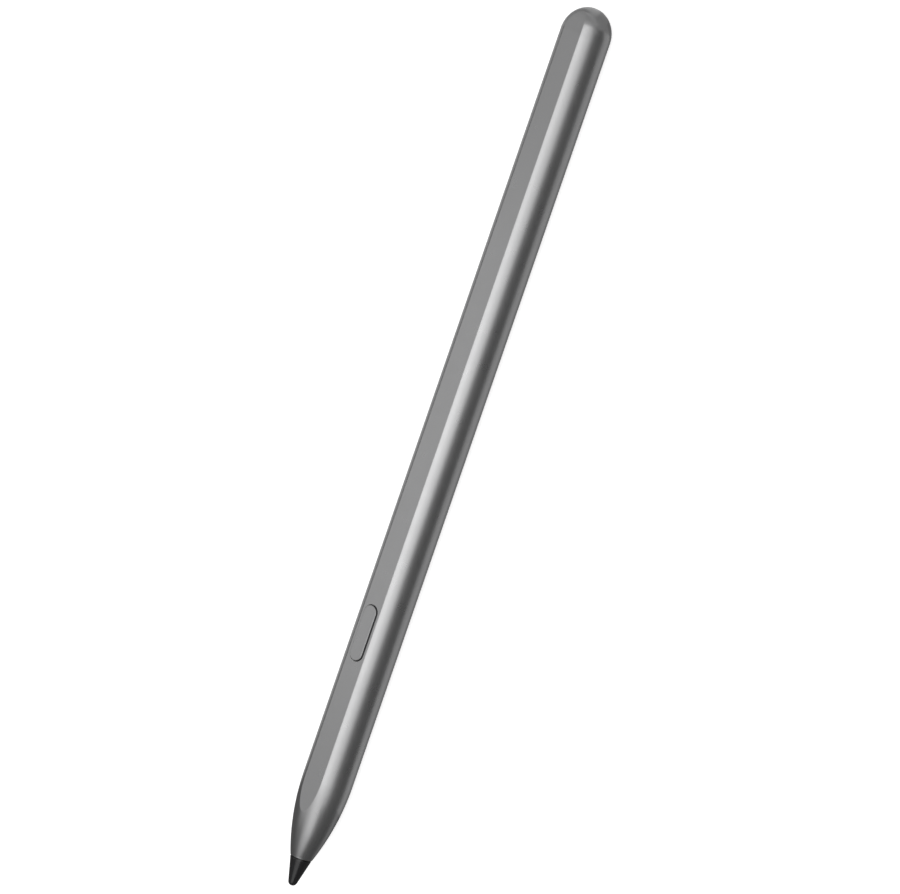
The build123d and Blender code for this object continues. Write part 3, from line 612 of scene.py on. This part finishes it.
def button_rings(sizes):
    """Outlines of the button from its top to its foot, each with its height."""
    rounding_rows = 8
    rounding = sizes.key_rounding
    top = KEY_HIGH.z

    def cap(inset):
        """The cap's outline, drawn in."""
        return stadium(sizes.key_length / 2 - inset, sizes.key_width / 2 - inset)

    rings = [(cap(2 * rounding), top)]
    for angle in spaced(0, pi / 2, rounding_rows):
        rings.append((cap(rounding * (1 - sin(angle))), top - rounding * (1 - cos(angle))))
    flange_top = BARREL_HIGH.z - sizes.wall
    flange_low = flange_top - sizes.key_flange
    flange = on_box(cap(0), (KEY_HIGH.x - KEY_LOW.x) / 2, (KEY_HIGH.y - KEY_LOW.y) / 2)
    foot = on_circle(cap(0), sizes.key_foot)
    rings.append((cap(0), flange_top))
    return rings + [(flange, flange_top), (flange, flange_low), (foot, flange_low), (foot, PLUNGER_TOP)]


def cut_slot(piece, sizes):
    """Cuts the button's slot through the barrel's wall."""
    outline = stadium(sizes.key_length / 2 + sizes.key_gap, sizes.key_width / 2 + sizes.key_gap)
    rings = [(outline, BARREL_HIGH.z + sizes.wall), (outline, AXIS_HEIGHT)]
    cutter = lofted_piece("slot_cutter", rings, KEY_MIDDLE, piece.data.materials[0])
    modifier = piece.modifiers.new("slot", "BOOLEAN")
    modifier.object = cutter
    modifier.solver = "EXACT"
    keep_result(piece)
    bpy.data.meshes.remove(cutter.data)


# Materials

# Most of a noise texture's values lie between these
NOISE_LOW, NOISE_HIGH = 0.3, 0.7

# Sockets that the Mix node uses for colours
MIX_FACTOR, MIX_FIRST, MIX_SECOND, MIX_RESULT = 0, 6, 7, 2

# Width of a band of the Wave texture at a scale of one
WAVE_BAND = pi / 10


def new_material(name):
    """A material with its surface shader and the object's own coordinates."""
    material = bpy.data.materials.new("stylus_" + name)
    material.use_nodes = True
    tree = material.node_tree
    shader = tree.nodes["Principled BSDF"]
    coordinates = tree.nodes.new("ShaderNodeTexCoord").outputs["Object"]
    return material, tree, shader, coordinates


def noise(tree, coordinates, size, detail=2.0, stretch=(1, 1, 1)):
    """Noise whose grains have about the given size, drawn out along the axes as stretch says."""
    scale = [1 / (size * factor) for factor in stretch]
    mapping = add_node(tree, "ShaderNodeMapping", Vector=coordinates, Scale=scale)
    grains = add_node(tree, "ShaderNodeTexNoise", Vector=mapping.outputs[0], Scale=1.0, Detail=detail)
    return grains.outputs[0]


def remap(tree, value, low, high):
    """A noise value spread from low to high."""
    node = add_node(
        tree, "ShaderNodeMapRange",
        Value=value, From_Min=NOISE_LOW, From_Max=NOISE_HIGH, To_Min=low, To_Max=high,
    )
    return node.outputs[0]


def shade(colour, factor=1):
    """A colour made lighter or darker, with full opacity."""
    return (*(min(1.0, part * factor) for part in colour), 1.0)


def vary(tree, shader, value, colour, spread):
    """Paints a colour that wavers by the given share."""
    mix = add_node(tree, "ShaderNodeMix", {"data_type": "RGBA"})
    mix.inputs[MIX_FIRST].default_value = shade(colour, 1 - spread)
    mix.inputs[MIX_SECOND].default_value = shade(colour, 1 + spread)
    tree.links.new(remap(tree, value, 0, 1), mix.inputs[MIX_FACTOR])
    tree.links.new(mix.outputs[MIX_RESULT], shader.inputs["Base Color"])


def roughen(tree, shader, value, roughness, spread):
    """A roughness that wavers about its middle value."""
    wavering = remap(tree, value, roughness - spread, roughness + spread)
    tree.links.new(wavering, shader.inputs["Roughness"])


def grain(tree, shader, value, depth, strength):
    """Raises a fine grain out of the surface."""
    bump = add_node(tree, "ShaderNodeBump", Height=value, Distance=depth, Strength=strength)
    tree.links.new(bump.outputs[0], shader.inputs["Normal"])


def lacquer(name, finish):
    """Satin metallic lacquer: a fine bright grain in a smooth film, brushed along the pen."""
    material, tree, shader, coordinates = new_material(name)
    shader.inputs["Metallic"].default_value = 1.0
    shader.inputs["Anisotropic"].default_value = finish.brushing
    round_the_pen = add_node(tree, "ShaderNodeTangent", {"direction_type": "RADIAL", "axis": "X"})
    tree.links.new(round_the_pen.outputs[0], shader.inputs["Tangent"])
    film_size = 60 * finish.flake_size
    flakes = noise(tree, coordinates, finish.flake_size, detail=1.0)
    film = noise(tree, coordinates, film_size)
    vary(tree, shader, flakes, finish.lacquer, spread=0.05)
    roughen(tree, shader, film, finish.lacquer_roughness, spread=0.012)
    grain(tree, shader, flakes, depth=0.02 * finish.flake_size, strength=0.25)
    return material


def nib_plastic(finish):
    """Fine matt black plastic with a low sheen."""
    material, tree, shader, coordinates = new_material("nib_plastic")
    texture = noise(tree, coordinates, size=0.06 * MM, detail=3.0)
    vary(tree, shader, texture, finish.nib_colour, spread=0.15)
    roughen(tree, shader, texture, finish.nib_roughness, spread=0.04)
    grain(tree, shader, texture, depth=0.004 * MM, strength=0.2)
    return material


def moulding(slot, roughness, size=0.1 * MM):
    """Moulded or rubbery piece with a fine spark-eroded grain."""
    material, tree, shader, coordinates = new_material(slot)
    texture = noise(tree, coordinates, size, detail=3.0)
    vary(tree, shader, texture, SLOT_COLOURS[slot], spread=0.12)
    roughen(tree, shader, texture, roughness, spread=0.06)
    grain(tree, shader, texture, depth=0.03 * size, strength=0.4)
    return material


def metal(slot, roughness, stretch=(1, 1, 1), size=0.08 * MM):
    """Bare metal whose tool marks are drawn out along the axes as stretch says."""
    material, tree, shader, coordinates = new_material(slot)
    shader.inputs["Metallic"].default_value = 1.0
    marks = noise(tree, coordinates, size, detail=3.0, stretch=stretch)
    vary(tree, shader, marks, SLOT_COLOURS[slot], spread=0.08)
    roughen(tree, shader, marks, roughness, spread=0.07)
    grain(tree, shader, marks, depth=0.01 * size, strength=0.3)
    return material


def striped(slot, stripe, pitch, metallic=0.0):
    """Strip with conductors or windings of another colour that run along it."""
    material, tree, shader, coordinates = new_material(slot)
    shader.inputs["Metallic"].default_value = metallic
    wave = add_node(
        tree, "ShaderNodeTexWave", {"bands_direction": "Y"}, Vector=coordinates, Scale=WAVE_BAND / pitch
    )
    bands = wave.outputs["Fac"]
    ramp = add_node(tree, "ShaderNodeValToRGB", Fac=bands)
    soft_edge = (0.42, 0.58)
    colours = (shade(SLOT_COLOURS[slot]), stripe)
    for element, position, colour in zip(ramp.color_ramp.elements, soft_edge, colours):
        element.position = position
        element.color = colour
    tree.links.new(ramp.outputs["Color"], shader.inputs["Base Color"])
    texture = noise(tree, coordinates, size=0.1 * MM)
    roughen(tree, shader, texture, roughness=0.3, spread=0.05)
    grain(tree, shader, bands, depth=0.01 * MM, strength=0.5)
    return material


def inner_finishes():
    """The finish of each material slot inside the pen."""
    fine, coarse = 0.05 * MM, 0.15 * MM
    drawn, turned = (12, 1, 1), (1, 12, 12)
    mouldings = {
        "carbon_core": {"roughness": 0.5},
        "guide_plastic": {"roughness": 0.4},
        "cover_plastic": {"roughness": 0.5},
        "chip_resin": {"roughness": 0.45, "size": fine},
        "ceramic_white": {"roughness": 0.5, "size": fine},
        "capacitor_ceramic": {"roughness": 0.4, "size": fine},
        "seal_rubber": {"roughness": 0.7, "size": 0.2 * MM},
        "cell_film": {"roughness": 0.3, "size": 0.8 * MM},
        "ferrite": {"roughness": 0.6, "size": coarse},
    }
    metals = {
        "turned_brass": {"roughness": 0.25, "stretch": turned},
        "bright_steel": {"roughness": 0.22, "stretch": drawn},
        "magnet_nickel": {"roughness": 0.18},
        "cast_chassis": {"roughness": 0.45, "size": coarse},
        "cell_can": {"roughness": 0.28, "stretch": drawn},
    }
    copper = SLOT_COLOURS["copper"]
    strips = {
        "board_laminate": {"stripe": shade(SLOT_COLOURS["board_laminate"], 1.6), "pitch": 0.5 * MM},
        "flex_film": {"stripe": shade(copper), "pitch": 0.4 * MM},
        "copper": {"stripe": shade(copper, 0.6), "pitch": 0.12 * MM, "metallic": 1.0},
    }
    finishes = {}
    for make, slots in ((moulding, mouldings), (metal, metals), (striped, strips)):
        for slot, look in slots.items():
            finishes[slot] = make(slot, **look)
    return finishes


# The studio


def seen_directly(tree):
    """One for rays from the camera and for those mirrored or let through by a surface."""
    path = tree.nodes.new("ShaderNodeLightPath").outputs
    seen = Field(tree, path["Is Camera Ray"])
    for name in ("Is Glossy Ray", "Is Transmission Ray"):
        seen = seen.most(Field(tree, path[name]))
    return seen


def studio_material(name):
    """A material with an empty tree, and the socket that takes its surface."""
    material = bpy.data.materials.new(name)
    material.use_nodes = True
    tree = material.node_tree
    tree.nodes.clear()
    surface = tree.nodes.new("ShaderNodeOutputMaterial").inputs["Surface"]
    return material, tree, surface


def sheet(name, corners, material):
    """A flat piece of the studio with the given corners."""
    mesh = bpy.data.meshes.new(name)
    mesh.from_pydata(corners, [], [tuple(range(len(corners)))])
    mesh.materials.append(material)
    piece = new_object(name, mesh)
    return piece


def oblong(front, right, rear, left):
    """Corners of an oblong on the floor."""
    return [(front, right), (rear, right), (rear, left), (front, left)]


def side_wall(y, front, rear, low, high):
    """Corners of an upright oblong beside the pen."""
    return [(front, y, low), (rear, y, low), (rear, y, high), (front, y, high)]


def end_wall(x, right, left, low, high):
    """Corners of an upright oblong beyond one end of the pen."""
    return [(x, right, low), (x, left, low), (x, left, high), (x, right, high)]


def lay_floor(studio):
    """A wide white floor that glows softly to the eye and still takes the pen's shadow."""
    white_paint = (0.8, 0.8, 0.8, 1)
    half, low = 4.0, -0.01 * MM
    material, tree, surface = studio_material("white_floor")
    glow = add_node(tree, "ShaderNodeEmission", Strength=seen_directly(tree) * studio.floor_glow)
    paint = add_node(tree, "ShaderNodeBsdfDiffuse", Color=white_paint)
    both = add_node(tree, "ShaderNodeAddShader")
    tree.links.new(glow.outputs[0], both.inputs[0])
    tree.links.new(paint.outputs[0], both.inputs[1])
    tree.links.new(both.outputs[0], surface)
    sheet("floor", [(x, y, low) for x, y in oblong(-half, -half, half, half)], material)


def card(name, level, corners):
    """A glowing sheet that only reflections show, with its corners in millimetres. It is no lamp: it paints a
    reflection on the pen, a painted highlight where its level is high and painted shade where it is low.
    """
    material, tree, surface = studio_material(name)
    # Painted reflection: the sheet glows at its level though it is no lamp, and only the pen's reflections see it
    glow = add_node(tree, "ShaderNodeEmission", Strength=level)
    tree.links.new(glow.outputs[0], surface)
    piece = sheet(name, [Vector(corner) * MM for corner in corners], material)
    piece.visible_camera = False
    piece.visible_diffuse = False
    piece.visible_transmission = False
    piece.visible_shadow = False


def lay_cards():
    """Glowing cards on the floor, each lying on those before it, which paint the reflections in the lower half of
    the pen; one of them paints the pen's own shadow there.
    """
    dark, shadow, soft, pale, white = 0.19, 0.32, 0.52, 0.8, 0.88

    # Places along the pen and across it, in millimetres from its middle
    front, rear, far = -1200, 500, 400
    nose, tail, dome, behind = -67, 78, 81, 125
    shadow_right, shadow_left = -4.7, 7
    tail_right, tail_left = -3, 11
    lane_rear, lane_nose_edge = 81.5, -8.4
    lane_edge = [(nose, lane_nose_edge), (-30, -10.2), (lane_rear, -10.6)]
    lane = lane_edge + [(lane_rear, shadow_right), (nose, shadow_right)]
    lane_tip = [(nose, lane_nose_edge), (nose, shadow_right), (-77, -2.5), (-77, -3.8)]
    slant = [(77.6, shadow_right), (345, -far)]
    behind_slant = slant + [(rear, -far), (rear, tail_left), (dome, tail_left), (dome, shadow_right)]
    bend = [(dome, 2), (86, -0.6), (101, -4), (behind, -4)]
    inside_bend = bend + [(behind, tail_left), (dome, tail_left)]

    # Painted reflections: each card glows at its level, and only the pen's reflections show it
    cards = {
        "right_floor_card": (dark, oblong(front, -far, rear, shadow_right)),
        "nose_floor_card": (dark, oblong(front, shadow_right, nose, far)),
        "left_floor_card": (pale, oblong(nose, shadow_left, tail, far)),
        # Painted shadow: a dim glowing sheet under the pen paints its own shadow on the floor into its reflections
        "shadow_card": (shadow, oblong(nose, shadow_right, dome, shadow_left)),
        "near_floor_card": (pale, lane),
        "nose_strip_card": (soft, lane_tip),
        "tail_right_card": (soft, behind_slant),
        "tail_left_card": (soft, oblong(tail, tail_left, rear, far)),
        "tail_near_card": (white, inside_bend),
        "tail_far_card": (pale, oblong(behind, tail_right, rear, tail_left)),
    }
    layer_height = 0.02
    for layer, (name, (level, outline)) in enumerate(cards.items(), start=1):
        card(name, level, [(x, y, layer * layer_height) for x, y in outline])


def stand_cards():
    """Upright glowing cards round the pen, which paint the reflections on its sides and its two ends."""
    dark, dim, soft, grey, pale = 0.2, 0.32, 0.45, 0.7, 0.8

    # Places along the pen, across it and up, in millimetres from its middle and the floor
    side_front, front, rear, far = -1200, -400, 500, 400
    right_change, left_change = 200, 85
    right_top, left_top, front_top, rear_top = 155, 380, 270, 220

    # Painted reflections: each card glows at its level, and only the pen's reflections show it
    cards = {
        "right_card": (dark, side_wall(-far, side_front, right_change, low=0, high=right_top)),
        "right_rear_card": (soft, side_wall(-far, right_change, rear, low=0, high=right_top)),
        "right_front_card": (dim, side_wall(-far, side_front, rear=-240, low=right_top, high=340)),
        "left_card": (dark, side_wall(far, side_front, left_change, low=0, high=left_top)),
        "front_card": (dark, end_wall(front, -far, far, low=0, high=front_top)),
        "left_front_card": (dim, end_wall(front, right=100, left=far, low=front_top, high=600)),
        "left_rear_card": (pale, side_wall(far, left_change, rear, low=0, high=900)),
        "rear_card": (grey, end_wall(rear, -far, far, low=60, high=rear_top)),
        "rear_high_card": (pale, end_wall(rear, right=-60, left=far, low=rear_top, high=500)),
    }
    for name, (level, corners) in cards.items():
        card(name, level, corners)


def light_room(scene, studio):
    """White surroundings to the eye and in reflections, and a dimmer light from all round."""
    world = bpy.data.worlds.new("white_room")
    scene.world = world
    world.use_nodes = True
    tree = world.node_tree
    seen = seen_directly(tree)
    strength = seen + (1 - seen) * studio.room_light
    background = tree.nodes["Background"]
    background.inputs["Color"].default_value = (1, 1, 1, 1)
    tree.links.new(strength.socket, background.inputs["Strength"])


def leaning(angle):
    """The way out of the flat, leant over towards the pen's right side."""
    return Vector((0, -sin(angle), cos(angle)))


def set_at(thing, place, right, up, back):
    """Puts a light or the camera in its place, with its own axes the given ways."""
    turn = Matrix((right, up, back)).transposed()
    thing.matrix_world = Matrix.Translation(place) @ turn.to_4x4()


def hang_softbox(name, strength, lean, half_angle, distance, front, rear):
    """An area light along the pen between two stations, which the pen sees under twice the half angle."""
    lamp = bpy.data.lights.new(name, "AREA")
    lamp.shape = "RECTANGLE"
    lamp.size = rear - front
    lamp.size_y = 2 * distance * tan(half_angle)
    lamp.energy = pi * lamp.size * lamp.size_y * strength
    away = leaning(lean)
    place = Vector(((front + rear) / 2, 0, AXIS_HEIGHT)) + away * distance
    set_at(new_object(name, lamp), place, ALONG, away.cross(ALONG), away)


def hang_lights(studio):
    """A wide softbox and a strip that make the highlight, two that even it out, and one over the flat."""
    nose_share, middle_share = 0.3, 0.8
    hang_softbox(
        "wide_softbox", studio.softbox_strength,
        lean=radians(35.5), half_angle=radians(25.5), distance=0.7, front=-0.6, rear=0.72,
    )
    hang_softbox(
        "strip_light", studio.strip_strength,
        lean=radians(22), half_angle=radians(14), distance=0.65, front=-0.25, rear=0.68,
    )
    hang_softbox(
        "nose_light", nose_share * studio.strip_strength,
        lean=radians(22), half_angle=radians(24), distance=0.65, front=-0.75, rear=-0.25,
    )
    hang_softbox(
        "middle_light", middle_share * studio.strip_strength,
        lean=radians(34), half_angle=radians(28), distance=0.65, front=-0.16, rear=-0.05,
    )
    hang_softbox(
        "flat_fill", studio.fill_strength,
        lean=-FLAT_TURN, half_angle=radians(14), distance=0.3, front=-0.1, rear=0.01,
    )


def set_camera(scene, studio):
    """A long lens that sees the pen as it lies in the picture."""
    facing = leaning(FLAT_TURN) * cos(TAIL_TILT) + ALONG * sin(TAIL_TILT)
    along = (ALONG - facing * facing.x).normalized()
    left = facing.cross(along)
    right = along * cos(PEN_SLOPE) - left * sin(PEN_SLOPE)
    up = along * sin(PEN_SLOPE) + left * cos(PEN_SLOPE)
    pixel = studio.picture_span / PICTURE_WIDTH
    middle = Vector(((NIB_LOW.x + CAP_HIGH.x) / 2, 0, AXIS_HEIGHT))
    aim = middle + right * (PICTURE_WIDTH / 2 - PEN_MIDDLE_PIXEL[0]) * pixel
    aim += up * (PEN_MIDDLE_PIXEL[1] - PICTURE_HEIGHT / 2) * pixel
    lens = bpy.data.cameras.new("camera")
    lens.lens = lens.sensor_width * studio.camera_distance / studio.picture_span
    camera = new_object("camera", lens)
    set_at(camera, aim + facing * studio.camera_distance, right, up, facing)
    scene.camera = camera


# Operators


class STYLUS_OT_barrel(bpy.types.Operator):
    """Turn the barrel with its nose and flat, and cut the button's slot"""

    bl_idname = "stylus.barrel"
    bl_label = "Barrel"

    def execute(self, context):
        sizes = context.scene.stylus_sizes
        material = lacquer("grey_lacquer", context.scene.stylus_finish)
        piece = turned_piece("barrel_shell", barrel_profile(sizes), material)
        cut_slot(piece, sizes)
        finish_piece(piece, body="barrel", node="barrel")
        return {"FINISHED"}


class STYLUS_OT_tail_cap(bpy.types.Operator):
    """Turn the domed tail with its spigot"""

    bl_idname = "stylus.tail_cap"
    bl_label = "Tail cap"

    def execute(self, context):
        material = bpy.data.materials["stylus_grey_lacquer"]
        piece = turned_piece("tail_dome", tail_profile(context.scene.stylus_sizes), material)
        finish_piece(piece, body="barrel", node="tail_cap")
        return {"FINISHED"}


class STYLUS_OT_nib(bpy.types.Operator):
    """Turn the replaceable nib"""

    bl_idname = "stylus.nib"
    bl_label = "Nib"

    def execute(self, context):
        material = nib_plastic(context.scene.stylus_finish)
        profile = nib_profile(context.scene.stylus_sizes)
        columns = {"flat_columns": 1, "edge_columns": 1, "back_columns": NIB_COLUMNS}
        piece = turned_piece("writing_nib", profile, material, **columns)
        finish_piece(piece, body="nib", node="nib")
        return {"FINISHED"}


class STYLUS_OT_side_button(bpy.types.Operator):
    """Build the side button with its flange and foot"""

    bl_idname = "stylus.side_button"
    bl_label = "Side button"

    def execute(self, context):
        material = lacquer("button_lacquer", context.scene.stylus_finish)
        piece = lofted_piece("side_key", button_rings(context.scene.stylus_sizes), KEY_MIDDLE, material)
        finish_piece(piece, body="side_button", node="side_button")
        return {"FINISHED"}


class STYLUS_OT_inner_pieces(bpy.types.Operator):
    """Give the pieces inside the pen their finishes"""

    bl_idname = "stylus.inner_pieces"
    bl_label = "Inner pieces"

    def execute(self, context):
        finishes = inner_finishes()
        for subpart in RECORD["subparts"]:
            if subpart["material_slot"] in finishes:
                mesh = frame["nodes"][subpart["node"]].data
                mesh.materials.clear()
                mesh.materials.append(finishes[subpart["material_slot"]])
        return {"FINISHED"}


class STYLUS_OT_springs(bpy.types.Operator):
    """Copy the return spring and the click dome into pieces of their own"""

    bl_idname = "stylus.springs"
    bl_label = "Springs"

    def execute(self, context):
        spring_low, spring_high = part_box("return_spring")
        springy_piece("pressure_spring", "return_spring", "nib_press", spring_high, spring_low)
        dome_low, dome_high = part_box("switch_dome")
        dome_seat = Vector((dome_high.x, dome_high.y, dome_low.z))
        springy_piece("click_dome", "switch_dome", "button_press", dome_seat, dome_high)
        return {"FINISHED"}


class STYLUS_OT_stage(bpy.types.Operator):
    """Lay the floor, put up the glowing cards that paint the pen's reflections, hang the lights and set up the
    camera
    """

    bl_idname = "stylus.stage"
    bl_label = "Studio"

    def execute(self, context):
        studio = context.scene.stylus_studio
        lay_floor(studio)
        lay_cards()
        stand_cards()
        light_room(context.scene, studio)
        hang_lights(studio)
        set_camera(context.scene, studio)
        context.scene.view_settings.view_transform = "Standard"
        return {"FINISHED"}


# The panel, and how all of it is run


class STYLUS_PT_panel(bpy.types.Panel):
    """The pen's sizes, finishes and studio, and what builds them"""

    bl_idname = "STYLUS_PT_panel"
    bl_label = "Stylus pen"
    bl_space_type = "VIEW_3D"
    bl_region_type = "UI"
    bl_category = "Stylus"

    def draw(self, context):
        for group in GROUPS:
            settings = getattr(context.scene, group)
            box = self.layout.box()
            for name in settings.bl_rna.properties.keys():
                if name not in ("name", "rna_type"):
                    box.prop(settings, name)
        for operator in OPERATORS:
            self.layout.operator(operator.bl_idname)


OPERATORS = (
    STYLUS_OT_barrel,
    STYLUS_OT_tail_cap,
    STYLUS_OT_nib,
    STYLUS_OT_side_button,
    STYLUS_OT_inner_pieces,
    STYLUS_OT_springs,
    STYLUS_OT_stage,
)
GROUPS = {"stylus_sizes": StylusSizes, "stylus_finish": StylusFinish, "stylus_studio": StylusStudio}


def register():
    """Adds the classes, and the settings to the scene."""
    for kind in (*GROUPS.values(), *OPERATORS, STYLUS_PT_panel):
        bpy.utils.register_class(kind)
    for name, group in GROUPS.items():
        setattr(bpy.types.Scene, name, PointerProperty(type=group))


def unregister():
    """Takes the settings and the classes away again."""
    for name in GROUPS:
        delattr(bpy.types.Scene, name)
    for kind in (STYLUS_PT_panel, *reversed(OPERATORS), *GROUPS.values()):
        bpy.utils.unregister_class(kind)


def main():
    """Builds the pen and its studio."""
    register()
    bpy.ops.stylus.barrel()
    bpy.ops.stylus.tail_cap()
    bpy.ops.stylus.nib()
    bpy.ops.stylus.side_button()
    bpy.ops.stylus.inner_pieces()
    bpy.ops.stylus.springs()
    bpy.ops.stylus.stage()


if __name__ == "__main__":
    main()
